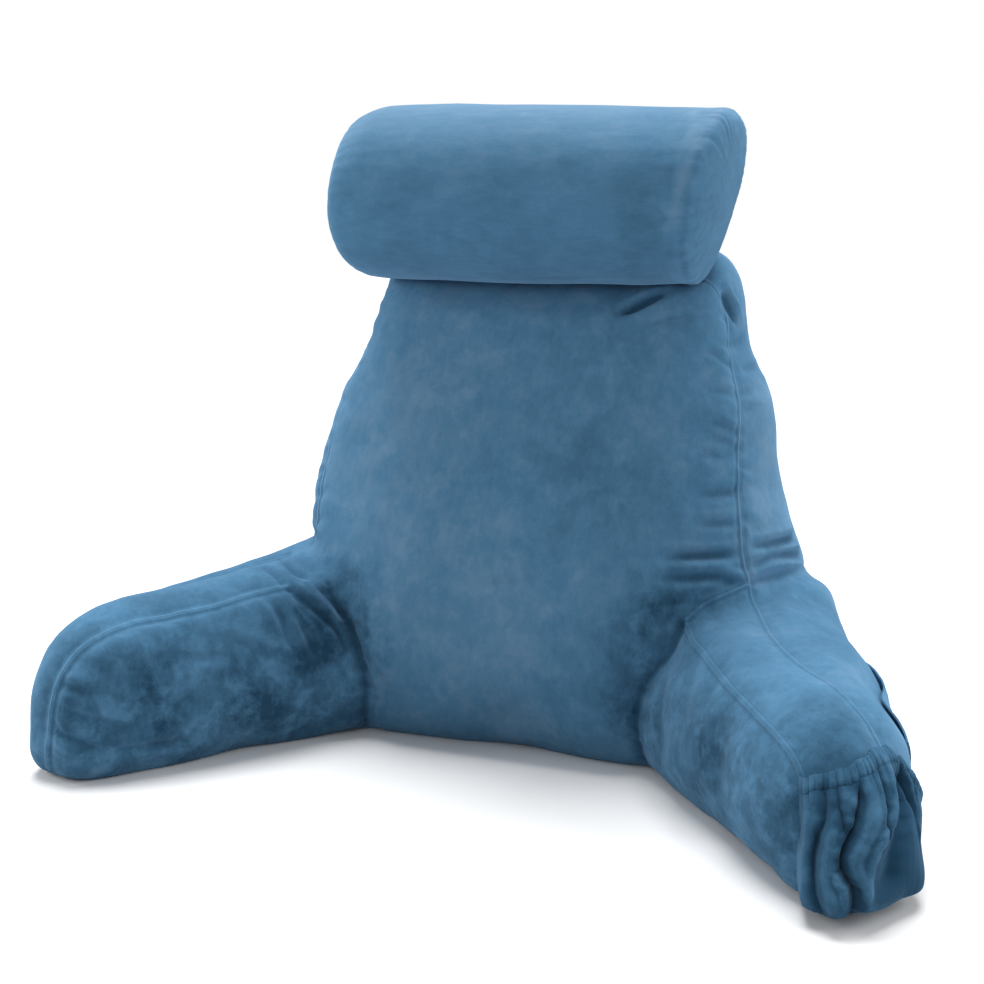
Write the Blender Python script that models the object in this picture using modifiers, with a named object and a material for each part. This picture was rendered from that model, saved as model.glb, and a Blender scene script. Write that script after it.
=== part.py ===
"""Reading pillow with arms: a leaning backrest cushion with two splayed arm cushions, a neck roll on
top, a gathered pocket over the end of one arm and a flat pocket on that arm's outer side.

Metres, +Z up. The seat side faces -Y and the object stands on Z = 0. Each cushion is sewn like a real
one: two crowned panels joined by a boxing strip, with a raised welt along each seam.
"""

import math
from collections import namedtuple

import bmesh
import bpy
from mathutils import Matrix, Vector, noise
from mathutils.bvhtree import BVHTree

# Driving sizes of the whole object
SEAT_WIDTH = 0.344  # between the arms, along the foot of the backrest
SEAT_LINE_Y = -0.110  # the foot of the backrest's front panel
BACK_HEIGHT = 0.559
ARM_SPLAY = math.radians(39)
ROLL_RADIUS = 0.103
ROLL_LENGTH = 0.416  # between the seams of its two ends
ROLL_CENTRE = Vector((0.001, -0.004, 0.6310))
ROLL_LEAN = math.radians(17)

# Cloth and sewing
SHEET = 0.0024  # thickness of the pocket cloth
GAP = 0.0006  # between two cushions that press on each other
SEWN_GAP = 0.0030  # between an arm and a pocket's edge that is sewn to it
WELT = 0.0032  # height of a seam's welt
LUMPS = 0.0022  # how uneven the filling is
LUMP_SIZE = 0.085
CROWN = 0.88  # rings further in than this are smoothed into one crown
CROWN_PASSES = 4

CLOTH = {
    "blue_plush": ((0.115, 0.235, 0.370), 0.85),
    "blue_plush_roll": ((0.120, 0.240, 0.375), 0.85),
    "blue_plush_pocket": ((0.095, 0.205, 0.330), 0.88),
}

# A ring of a boxed cushion, from the front panel's middle to the back panel's middle.
# inset: 1 on the panel's outline, 0 on its middle line. lift: outwards from the outline, metres.
# depth: through the cushion. pucker: how far the cloth is drawn in between stitches, metres.
Ring = namedtuple("Ring", "inset lift depth pucker", defaults=(0.0,))
# A fold pressed into a cushion's cloth, from start to end.
Fold = namedtuple("Fold", "start end width depth")
# A point of a panel's outline, in metres: how far across or along, and how high.
Edge = namedtuple("Edge", "along height")


def smooth_loop(points, count):
    """count evenly spaced points on a closed Catmull-Rom curve through the given ones."""
    fine = []
    total = len(points)
    steps = 24
    for index in range(total):
        p0, p1, p2, p3 = (Vector(points[(index + k - 1) % total]) for k in range(4))
        for step in range(steps):
            t = step / steps
            fine.append(
                0.5
                * (
                    2 * p1
                    + (p2 - p0) * t
                    + (2 * p0 - 5 * p1 + 4 * p2 - p3) * t**2
                    + (3 * p1 - p0 - 3 * p2 + p3) * t**3
                )
            )
    along = [0.0]
    for a, b in zip(fine, fine[1:] + fine[:1]):
        along.append(along[-1] + (b - a).length)
    loop = []
    k = 0
    for index in range(count):
        want = along[-1] * index / count
        while along[k + 1] < want:
            k += 1
        share = (want - along[k]) / (along[k + 1] - along[k])
        loop.append(fine[k].lerp(fine[(k + 1) % len(fine)], share))
    return loop


def outward(loop):
    """The outward normal at each point of a counter-clockwise loop."""
    normals = []
    for index in range(len(loop)):
        step = loop[(index + 1) % len(loop)] - loop[index - 1]
        normals.append(Vector((step.y, -step.x)).normalized())
    return normals


def press_folds(mesh, folds):
    """Sinks a soft trough into the cloth along each fold."""
    normals = [normal.vector.copy() for normal in mesh.vertex_normals]
    for vert, normal in zip(mesh.vertices, normals):
        if vert.co.z <= 0.0:
            continue
        sink = 0.0
        for fold in folds:
            start, end = Vector(fold.start), Vector(fold.end)
            run = end - start
            share = max(0.0, min(1.0, (vert.co - start).dot(run) / run.length_squared))
            away = (vert.co - start - run * share).length / fold.width
            if away < 1.0:
                sink += fold.depth * (1.0 - away * away) ** 2
        vert.co -= normal * sink


def cloth_material(name):
    colour, roughness = CLOTH[name]
    material = bpy.data.materials.get(name) or bpy.data.materials.new(name)
    material.use_nodes = True
    shader = material.node_tree.nodes["Principled BSDF"]
    shader.inputs["Base Color"].default_value = (*colour, 1.0)
    shader.inputs["Roughness"].default_value = roughness
    shader.inputs["Metallic"].default_value = 0.0
    return material


def add_object(name, mesh, collection, material):
    mesh.materials.append(cloth_material(material))
    mesh.shade_smooth()
    obj = bpy.data.objects.new(name, mesh)
    collection.objects.link(obj)
    return obj


def boxed_cushion(name, loop, middle, rings, place, lumps=LUMPS):
    """The mesh of a cushion lofted through its rings. middle is the half length of the panel's middle
    line and its height; place turns (along, height, ring) into a point of the object."""
    normals = outward(loop)
    half_line, line_along, line_height = middle
    bm = bmesh.new()
    rows = []
    for ring in rings:
        row = []
        for k, (point, normal) in enumerate(zip(loop, normals)):
            reach = max(-half_line, min(half_line, point.x - line_along))
            heart = Vector((line_along + reach, line_height))
            drawn = ring.pucker * (k % 2) * (0.6 + noise.noise(Vector((k * 0.83, ring.depth, 0.5))))
            spot = heart + (point - heart) * ring.inset + normal * (ring.lift - drawn)
            placed = place(spot.x, max(spot.y, 0.0), ring)
            if placed.z > 0.0:
                bump = noise.noise(placed / LUMP_SIZE) * lumps
                placed.x += bump
                placed.y -= bump
            row.append(bm.verts.new(placed))
        rows.append(row)
    count = len(loop)
    for low, high in zip(rows, rows[1:]):
        for k in range(count):
            after = (k + 1) % count
            bm.faces.new((low[k], high[k], high[after], low[after]))
    bm.faces.new(rows[0])
    bm.faces.new(reversed(rows[-1]))
    crown = [vert for ring, row in zip(rings, rows) if ring.inset < CROWN for vert in row if vert.co.z > 0.0]
    for _ in range(CROWN_PASSES):
        bmesh.ops.smooth_vert(bm, verts=crown, factor=0.5, use_axis_x=True, use_axis_y=True, use_axis_z=True)
    bmesh.ops.triangulate(bm, faces=bm.faces[:], ngon_method="BEAUTY")
    bmesh.ops.recalc_face_normals(bm, faces=bm.faces[:])
    mesh = bpy.data.meshes.new(name)
    bm.to_mesh(mesh)
    bm.free()
    return mesh


def cut_clear(obj, other, cutters):
    """Cuts away from obj all that other, grown by the gap, takes up."""
    cutter = bpy.data.objects.new(f"{obj.name}_cut_by_{other.name}", other.data.copy())
    cutters.objects.link(cutter)
    cutter.hide_render = True
    cutter.display_type = "WIRE"
    grow = cutter.modifiers.new("grow", "DISPLACE")
    grow.strength = GAP
    grow.mid_level = 0.0
    boolean = obj.modifiers.new(f"clear_of_{other.name}", "BOOLEAN")
    boolean.operation = "DIFFERENCE"
    boolean.solver = "EXACT"
    boolean.object = cutter


# Backrest: front and back panels with a side gusset between them

BACK_POINTS = 92
BACK_EDGE = (
    Edge(0.000, 0.000),
    Edge(0.150, 0.000),
    Edge(0.225, 0.008),
    Edge(0.258, 0.060),
    Edge(0.269, 0.140),
    Edge(0.268, 0.215),
    Edge(0.257, 0.300),
    Edge(0.240, 0.380),
    Edge(0.219, 0.455),
    Edge(0.204, 0.510),
    Edge(0.180, 0.545),
    Edge(0.120, BACK_HEIGHT),
    Edge(0.000, BACK_HEIGHT + 0.002),
)
BACK_RINGS = (
    Ring(0.10, 0.000, -0.330),
    Ring(0.30, 0.000, -0.315),
    Ring(0.50, 0.000, -0.280),
    Ring(0.68, 0.000, -0.225),
    Ring(0.82, 0.000, -0.155),
    Ring(0.92, 0.000, -0.085, 0.0012),
    Ring(0.975, 0.000, -0.030, 0.0035),
    Ring(1.00, 0.001, -0.008),
    Ring(1.00, WELT, 0.006),
    Ring(1.00, 0.001, 0.024),
    Ring(1.00, 0.006, 0.120, 0.0035),
    Ring(1.00, 0.012, 0.340, 0.0012),
    Ring(1.00, 0.015, 0.560),
    Ring(1.00, 0.010, 0.780),
    Ring(1.00, 0.002, 0.960),
    Ring(1.00, WELT + 0.001, 0.990),
    Ring(1.00, 0.001, 1.010),
    Ring(0.93, 0.000, 1.070),
    Ring(0.76, 0.000, 1.140),
    Ring(0.50, 0.000, 1.190),
    Ring(0.22, 0.000, 1.210),
)
BACK_LEAN = 0.235  # how far back the front panel leans for each metre of height
BACK_DEPTH_FOOT = 0.205
BACK_DEPTH_TOP = 0.120
BACK_FOLDS = (
    Fold((0.060, -0.010, 0.520), (0.165, -0.012, 0.487), 0.024, 0.007),
    Fold((0.030, -0.008, 0.500), (0.110, -0.008, 0.500), 0.018, 0.003),
    Fold((-0.202, -0.106, 0.169), (-0.150, -0.120, 0.120), 0.030, 0.008),
    Fold((-0.230, -0.085, 0.225), (-0.165, -0.125, 0.190), 0.026, 0.005),
    Fold((-0.175, -0.110, 0.060), (-0.110, -0.130, 0.030), 0.026, 0.005),
    Fold((0.205, -0.094, 0.206), (0.262, -0.062, 0.236), 0.020, 0.005),
    Fold((0.196, -0.089, 0.240), (0.256, -0.058, 0.262), 0.020, 0.005),
    Fold((0.205, -0.070, 0.300), (0.252, -0.040, 0.308), 0.018, 0.004),
    Fold((0.195, -0.050, 0.355), (0.246, -0.025, 0.362), 0.018, 0.004),
    Fold((0.189, -0.030, 0.420), (0.236, -0.003, 0.424), 0.018, 0.003),
    Fold((0.118, -0.127, 0.149), (0.175, -0.125, 0.080), 0.030, 0.006),
    Fold((0.229, 0.020, 0.510), (0.240, 0.045, 0.430), 0.020, 0.009),
    Fold((0.262, 0.020, 0.300), (0.285, 0.080, 0.240), 0.024, 0.005),
    Fold((-0.037, -0.155, 0.188), (0.051, -0.155, 0.200), 0.020, 0.002),
)
BACK_SPREAD = 0.09  # how much wider the back panel's foot is than the front panel's, as a share
BACK_HEART = 0.230  # height of the panels' fullest line


def place_back(x, height, ring):
    share = height / BACK_HEIGHT
    depth = BACK_DEPTH_FOOT + (BACK_DEPTH_TOP - BACK_DEPTH_FOOT) * share**0.8
    x *= 1.0 + BACK_SPREAD * max(0.0, min(ring.depth, 1.0)) * (1.0 - share)
    y = SEAT_LINE_Y + BACK_LEAN * height + ring.depth * depth
    return Vector((x, y, height))


def build_backrest(collection):
    right = [(edge.along, edge.height) for edge in BACK_EDGE]
    left = [(-along, height) for along, height in reversed(right[1:-1])]
    loop = smooth_loop(right + left, BACK_POINTS)
    mesh = boxed_cushion("back_cushion", loop, (0.055, 0.0, BACK_HEART), BACK_RINGS, place_back)
    press_folds(mesh, BACK_FOLDS)
    return add_object("back_cushion", mesh, collection, "blue_plush")


# Arms: an inner panel towards the seat, a top strip, and a fuller outer panel

ARM_POINTS = 64
ARM_REAR = (
    Edge(-0.120, 0.165),
    Edge(-0.125, 0.080),
    Edge(-0.115, 0.000),
    Edge(0.000, 0.000),
    Edge(0.150, 0.000),
    Edge(0.280, 0.000),
)
ARM_FRONTS = {
    "arm_left": (
        Edge(0.343, 0.003),
        Edge(0.356, 0.040),
        Edge(0.354, 0.084),
        Edge(0.334, 0.118),
        Edge(0.295, 0.141),
        Edge(0.240, 0.155),
        Edge(0.155, 0.169),
        Edge(0.060, 0.180),
        Edge(-0.060, 0.192),
    ),
    "arm_right": (
        Edge(0.334, 0.003),
        Edge(0.344, 0.042),
        Edge(0.341, 0.088),
        Edge(0.321, 0.121),
        Edge(0.286, 0.139),
        Edge(0.235, 0.147),
        Edge(0.160, 0.155),
        Edge(0.050, 0.170),
        Edge(-0.060, 0.190),
    ),
}
ARM_RINGS = (
    Ring(0.15, 0.000, -0.022),
    Ring(0.40, 0.000, -0.020),
    Ring(0.64, 0.000, -0.015),
    Ring(0.83, 0.000, -0.009),
    Ring(0.94, 0.000, -0.004, 0.0015),
    Ring(1.00, 0.000, -0.001),
    Ring(1.00, WELT, 0.002),
    Ring(1.00, 0.001, 0.006),
    Ring(1.00, 0.008, 0.026, 0.0015),
    Ring(1.00, 0.015, 0.055),
    Ring(1.00, 0.018, 0.078),
    Ring(1.00, 0.017, 0.092),
    Ring(1.00, 0.017 + WELT, 0.096),
    Ring(1.00, 0.016, 0.100),
    Ring(1.00, 0.012, 0.116, 0.0015),
    Ring(0.97, 0.007, 0.134),
    Ring(0.88, 0.002, 0.148),
    Ring(0.70, 0.000, 0.157),
    Ring(0.45, 0.000, 0.162),
    Ring(0.20, 0.000, 0.164),
)
ARM_FOLDS = {
    "arm_left": (
        Fold((-0.252, -0.162, 0.178), (-0.200, -0.140, 0.130), 0.022, 0.006),
        Fold((-0.240, -0.170, 0.155), (-0.190, -0.138, 0.085), 0.022, 0.005),
        Fold((-0.382, -0.379, 0.050), (-0.308, -0.299, 0.075), 0.022, 0.005),
        Fold((-0.370, -0.362, 0.105), (-0.298, -0.275, 0.118), 0.020, 0.004),
        Fold((-0.270, -0.232, 0.095), (-0.205, -0.160, 0.050), 0.024, 0.004),
        Fold((-0.263, -0.102, 0.200), (-0.225, -0.130, 0.185), 0.022, 0.006),
    ),
    "arm_right": (
        Fold((0.236, -0.152, 0.158), (0.240, -0.204, 0.080), 0.022, 0.006),
        Fold((0.208, -0.135, 0.135), (0.205, -0.172, 0.050), 0.022, 0.006),
        Fold((0.300, -0.258, 0.125), (0.285, -0.268, 0.050), 0.022, 0.004),
        Fold((0.255, -0.235, 0.030), (0.350, -0.345, 0.036), 0.018, 0.003),
        Fold((0.262, -0.060, 0.200), (0.300, -0.030, 0.205), 0.022, 0.005),
    ),
}
ARM_HEIGHT = 0.175
ARM_DEPTH = 0.164
ARM_LENGTH = 0.335
ARM_LEAN = 0.040  # the inner panel's top leans this far outwards at the backrest, and not at the front
ARM_WIDEN = (1.40, -2.18)  # how wide the arm is, and how much wider for each metre along


def arm_axes(side):
    """Foot of the arm's inner panel at the backrest, and the directions along and across the arm."""
    foot = Vector((side * SEAT_WIDTH / 2, SEAT_LINE_Y, 0.0))
    along = Vector((side * math.sin(ARM_SPLAY), -math.cos(ARM_SPLAY), 0.0))
    across = Vector((side * math.cos(ARM_SPLAY), math.sin(ARM_SPLAY), 0.0))
    return foot, along, across


def place_arm(side):
    foot, along, across = arm_axes(side)

    def place(distance, height, ring):
        share = ring.depth / ARM_DEPTH
        if distance < 0.0:
            distance *= 1.0 - 0.5 * max(0.0, share)
        lean = ARM_LEAN * min(1.0, 1.0 - distance / ARM_LENGTH) * height / ARM_HEIGHT
        width = ring.depth * (ARM_WIDEN[0] + ARM_WIDEN[1] * distance) + lean * (1.0 - share)
        spot = foot + along * distance + across * width
        return Vector((spot.x, spot.y, height))

    return place


def build_arm(name, side, collection):
    outline = ARM_REAR + ARM_FRONTS[name]
    loop = smooth_loop([(edge.along, edge.height) for edge in outline], ARM_POINTS)
    mesh = boxed_cushion(name, loop, (0.150, 0.110, 0.080), ARM_RINGS, place_arm(side))
    press_folds(mesh, ARM_FOLDS[name])
    return add_object(name, mesh, collection, "blue_plush")


# Neck roll: round in front, flatter behind where it lies against the backrest

ROLL_POINTS = 48
ROLL_FLAT = 0.80  # how far back the roll reaches, as a share of its radius
ROLL_SPANS = 7
ROLL_END = (
    Ring(0.10, 0.000, 0.017),
    Ring(0.45, 0.000, 0.016),
    Ring(0.72, 0.000, 0.012, 0.0010),
    Ring(0.90, 0.000, 0.006, 0.0020),
    Ring(0.98, 0.000, 0.001),
    Ring(1.00, 0.001, -0.004),
    Ring(1.00, -0.001, -0.012),
)


def roll_section(count):
    loop = []
    for index in range(count):
        angle = 2 * math.pi * index / count
        forward = math.cos(angle)
        up = math.sin(angle)
        if forward < 0:
            forward = -ROLL_FLAT * abs(forward) ** 0.72
            up = math.copysign(abs(up) ** 0.90, up)
        loop.append(Vector((forward, up)) * ROLL_RADIUS)
    return loop


def build_roll(collection):
    half = ROLL_LENGTH / 2
    rings = [ring._replace(depth=-half - ring.depth) for ring in ROLL_END]
    for step in range(1, ROLL_SPANS):
        span = step / ROLL_SPANS
        belly = 0.0016 * math.sin(math.pi * span)
        rings.append(Ring(1.0, belly, (half - 0.012) * (2 * span - 1)))
    rings += [ring._replace(depth=half + ring.depth) for ring in reversed(ROLL_END)]
    lean = Matrix.Rotation(-ROLL_LEAN, 4, "X")
    loop = roll_section(ROLL_POINTS)
    shift = Vector((0.0, ROLL_RADIUS))  # boxed_cushion keeps heights above zero

    def place(forward, height, ring):
        spot = lean @ Vector((0.0, -forward, height - ROLL_RADIUS))
        spot.x = ring.depth
        return ROLL_CENTRE + spot

    raised = [point + shift for point in loop]
    mesh = boxed_cushion("neck_roll", raised, (0.0, 0.0, ROLL_RADIUS), rings, place)
    return add_object("neck_roll", mesh, collection, "blue_plush_roll")


# Pockets of the right arm: a gathered one round its front end and a flat one on its outer side

# A row of a pocket, from its foot to its mouth: how far up, off the arm's cloth, and its folds' depth.
Row = namedtuple("Row", "up off fold")
# A stretch of a pocket's mouth: where it is, and how high.
Mouth = namedtuple("Mouth", "at height")

FRONT_HEART = (0.245, 0.062)  # along and across the arm: the pocket is laid out round this point
FRONT_TURN = (math.radians(-34), math.radians(59))
FRONT_FOLDS = 6
FRONT_COLUMNS = 50
FRONT_FOOT = 0.0045
FRONT_MOUTH = (
    Mouth(0.00, 0.113),
    Mouth(0.25, 0.122),
    Mouth(0.50, 0.130),
    Mouth(0.68, 0.145),
    Mouth(0.84, 0.128),
    Mouth(1.00, 0.100),
)
FRONT_ROWS = (
    Row(0.00, 0.001, 0.000),
    Row(0.02, 0.014, 0.002),
    Row(0.09, 0.026, 0.005),
    Row(0.22, 0.031, 0.007),
    Row(0.38, 0.033, 0.007),
    Row(0.54, 0.033, 0.006),
    Row(0.70, 0.030, 0.005),
    Row(0.83, 0.026, 0.004),
    Row(0.90, 0.022, 0.002),
    Row(0.95, 0.023, 0.0015),
    Row(1.00, 0.021, 0.001),
)
SIDE_SPAN = (0.100, 0.262)  # from its rear edge to its front edge, along the arm
SIDE_COLUMNS = 20
SIDE_FOOT = 0.014
SIDE_MOUTH = (
    Mouth(0.00, 0.158),
    Mouth(0.35, 0.154),
    Mouth(0.70, 0.145),
    Mouth(1.00, 0.124),
)
SIDE_ROWS = (
    Row(0.00, 0.001, 0.0),
    Row(0.15, 0.003, 0.0),
    Row(0.35, 0.006, 0.0),
    Row(0.60, 0.010, 0.0),
    Row(0.80, 0.013, 0.0),
    Row(0.93, 0.0145, 0.0),
    Row(1.00, 0.015, 0.0),
)


def mouth_height(mouth, at):
    for low, high in zip(mouth, mouth[1:]):
        if at <= high.at:
            share = (at - low.at) / (high.at - low.at)
            share = share * share * (3 - 2 * share)
            return low.height + (high.height - low.height) * share
    return mouth[-1].height


def pocket(name, rows, collection, tree):
    """A sheet through the rows of (start, direction) rays: each point lies off the arm along its ray."""
    bm = bmesh.new()
    grid = []
    for row in rows:
        line = []
        for start, direction, off in row:
            touched = tree.ray_cast(start, direction)[0]
            line.append(bm.verts.new(touched - direction * off))
        grid.append(line)
    for low, high in zip(grid, grid[1:]):
        for k in range(len(low) - 1):
            bm.faces.new((low[k], low[k + 1], high[k + 1], high[k]))
    mesh = bpy.data.meshes.new(name)
    bm.to_mesh(mesh)
    bm.free()
    obj = add_object(name, mesh, collection, "blue_plush_pocket")
    thicken = obj.modifiers.new("cloth", "SOLIDIFY")
    thicken.thickness = SHEET
    thicken.offset = 1.0
    return obj


def build_front_pocket(collection, tree):
    foot, along, across = arm_axes(1)
    heart = foot + along * FRONT_HEART[0] + across * FRONT_HEART[1]
    rows = []
    for row in FRONT_ROWS:
        line = []
        for k in range(FRONT_COLUMNS + 1):
            at = k / FRONT_COLUMNS
            turn = FRONT_TURN[0] + (FRONT_TURN[1] - FRONT_TURN[0]) * at
            out = along * math.cos(turn) + across * math.sin(turn)
            height = FRONT_FOOT + (mouth_height(FRONT_MOUTH, at) - FRONT_FOOT) * row.up
            phase = FRONT_FOLDS * at + 0.45 * noise.noise(Vector((at * 2.5, row.up * 1.6, 3.1)))
            full = (1.28 - 1.10 * at) * max(0.0, math.sin(math.pi * at)) ** 0.6
            off = SEWN_GAP + full * (row.off + row.fold * math.cos(2 * math.pi * phase))
            line.append((heart + out * 0.4 + Vector((0, 0, height)), -out, off))
        rows.append(line)
    return pocket("front_pocket", rows, collection, tree)


def build_side_pocket(collection, tree):
    foot, along, across = arm_axes(1)
    rows = []
    for row in SIDE_ROWS:
        line = []
        for k in range(SIDE_COLUMNS + 1):
            at = k / SIDE_COLUMNS
            distance = SIDE_SPAN[1] + (SIDE_SPAN[0] - SIDE_SPAN[1]) * at
            height = SIDE_FOOT + (mouth_height(SIDE_MOUTH, 1.0 - at) - SIDE_FOOT) * row.up
            full = min(1.0, 5.0 * min(at, 1.0 - at))
            start = foot + along * distance + across * 0.5 + Vector((0, 0, height))
            line.append((start, -across, SEWN_GAP + full * row.off))
        rows.append(line)
    return pocket("side_pocket", rows, collection, tree)


def main():
    for obj in list(bpy.data.objects):
        bpy.data.objects.remove(obj)
    scene = bpy.context.scene
    pillow = bpy.data.collections.new("reading_pillow")
    cutters = bpy.data.collections.new("cutters")
    scene.collection.children.link(pillow)
    scene.collection.children.link(cutters)

    backrest = build_backrest(pillow)
    roll = build_roll(pillow)
    arms = [build_arm("arm_left", -1, pillow), build_arm("arm_right", 1, pillow)]
    shape = arms[1].data
    tree = BVHTree.FromPolygons([v.co for v in shape.vertices], [p.vertices for p in shape.polygons])
    build_front_pocket(pillow, tree)
    build_side_pocket(pillow, tree)
    for arm in arms:
        cut_clear(arm, backrest, cutters)
    cut_clear(backrest, roll, cutters)


main()
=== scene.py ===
import math
import random

import bmesh
import bpy
import numpy as np
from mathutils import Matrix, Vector, noise
from mathutils.bvhtree import BVHTree
from mathutils.kdtree import KDTree


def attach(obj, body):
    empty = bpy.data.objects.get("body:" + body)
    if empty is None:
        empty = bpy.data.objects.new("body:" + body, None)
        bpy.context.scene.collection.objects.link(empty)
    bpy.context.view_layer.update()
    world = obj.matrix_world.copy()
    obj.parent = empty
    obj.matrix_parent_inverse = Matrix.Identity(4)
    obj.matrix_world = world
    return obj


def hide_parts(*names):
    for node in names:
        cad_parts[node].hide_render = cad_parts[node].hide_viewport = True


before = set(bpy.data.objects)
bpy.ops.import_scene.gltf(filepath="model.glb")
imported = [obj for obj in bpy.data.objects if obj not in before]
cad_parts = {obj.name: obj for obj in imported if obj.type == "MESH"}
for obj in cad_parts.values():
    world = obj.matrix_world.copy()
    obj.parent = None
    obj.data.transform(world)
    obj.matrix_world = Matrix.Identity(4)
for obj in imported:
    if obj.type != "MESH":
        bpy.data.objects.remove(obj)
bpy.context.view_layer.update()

# Lengths are in metres, and in millimetres in what metres() takes. Points are in the frame of the CAD model.

plush = {
    "deep": (0.016, 0.056, 0.104),
    "mid": (0.076, 0.197, 0.328),
    "light": (0.192, 0.305, 0.430),
    "roughness": 0.9,
    "sheen": 0.38,
    "sheenRoughness": 0.52,
    "sheenTint": (0.40, 0.69, 1.0),
    "patchSize": 0.048,
    # streaks and flecks in a metre
    "streaks": 110.0,
    "flecks": 620.0,
    # how much each layer of the nap shows
    "shown": {"broad": 0.6, "patch": 0.9, "blotch": 0.3, "small": 0.12, "streak": 0.26, "fleck": 0.14},
    # how dark the painted shade in creases, gathers, joints and sewn lines gets
    "paintedShadeStrength": 0.85,
    "pile": 0.0006,
}
# Beside a seam: middle and width of its ridge, which gets a painted highlight, and of its groove, which gets
# painted shade, and how far the cloth is raised
stitching = {
    "reach": 0.008,
    "thin": {"ridge": (0.0, 0.0020), "groove": (0.0030, 0.0015), "raised": 0.0022},
    "flat": {"ridge": (0.0026, 0.0014), "groove": (0.0048, 0.0016), "raised": 0.0036},
    # how strong the painted highlight on the ridge and the painted shade in the groove are
    "paler": 0.12,
    "darker": 0.24,
    "height": 2.6,
}
camera = {"spot": (0.5921, -1.6436, 0.6243), "target": (0.005, -0.16, 0.311), "lens": 55.31}
studio = {
    "floorSize": 12.0,
    "floorDrop": 0.0004,
    "floor": (0.92, 0.92, 0.92),
    "floorBounce": (0.52, 0.53, 0.54),
    "skyLight": 0.34,
    "skySeen": 1.0,
    "sun": {"from": (-0.12, 0.26, 1.0), "strength": 3.5, "softness": 40.0},
    "lampsAim": (0.0, -0.08, 0.28),
    "lamps": (
        # name, place, size, power
        ("leftLight", (-2.2, -0.7, 0.9), 1.3, 22.0),
        ("rightLight", (2.2, 0.3, 1.2), 1.5, 22.0),
        ("frontLight", (0.2, -2.6, 1.6), 1.8, 6.0),
    ),
}


# Shaders


class Socket:
    # a node's output that takes part in Python arithmetic
    def __init__(self, tree, output):
        self.tree = tree
        self.output = output

    def maths(self, operation, *values, clamp=False):
        made = self.tree.nodes.new("ShaderNodeMath")
        made.operation = operation
        made.use_clamp = clamp
        for index, value in enumerate(values):
            if isinstance(value, Socket):
                self.tree.links.new(value.output, made.inputs[index])
            else:
                made.inputs[index].default_value = value
        return Socket(self.tree, made.outputs[0])

    def __add__(self, other):
        return self.maths("ADD", self, other)

    __radd__ = __add__

    def __sub__(self, other):
        return self.maths("SUBTRACT", self, other)

    def __rsub__(self, other):
        return self.maths("SUBTRACT", other, self)

    def __mul__(self, other):
        return self.maths("MULTIPLY", self, other)

    __rmul__ = __mul__

    def __truediv__(self, other):
        return self.maths("DIVIDE", self, other)

    def __abs__(self):
        return self.maths("ABSOLUTE", self)

    def clamped(self):
        return self.maths("ADD", self, 0.0, clamp=True)


class Shader:
    def __init__(self, name):
        self.material = bpy.data.materials.new(name)
        self.material.use_nodes = True
        self.tree = self.material.node_tree
        self.surface = self.tree.nodes["Principled BSDF"]

    def feed(self, socket, value):
        if isinstance(value, Socket):
            self.tree.links.new(value.output, socket)
        else:
            socket.default_value = value

    def add(self, kind, output, settings, values):
        made = self.tree.nodes.new(kind)
        for key, value in settings.items():
            setattr(made, key, value)
        for key, value in values.items():
            self.feed(made.inputs[key], value)
        return Socket(self.tree, made.outputs[output])

    def set(self, **values):
        for key, value in values.items():
            self.feed(self.surface.inputs[key.replace("_", " ")], value)

    def attribute(self, name):
        return self.add("ShaderNodeAttribute", "Fac", {"attribute_name": name}, {})

    def noise(self, where, scale, detail=2.0, roughness=0.5, distortion=0.0):
        values = {"Vector": where, "Scale": scale, "Detail": detail, "Roughness": roughness,
                  "Distortion": distortion}
        return self.add("ShaderNodeTexNoise", "Fac", {}, values)

    def mix(self, factor, first, second):
        values = {0: factor, 6: first, 7: second}
        for key in (6, 7):
            if not isinstance(values[key], Socket):
                values[key] = (*values[key], 1.0)
        return self.add("ShaderNodeMix", 2, {"data_type": "RGBA"}, values)


def seamLine(away, middle, width):
    # 1 along a line beside the seam, fading to 0 at its edges
    return (1.0 - abs(away - middle) / width).clamped()


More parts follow.
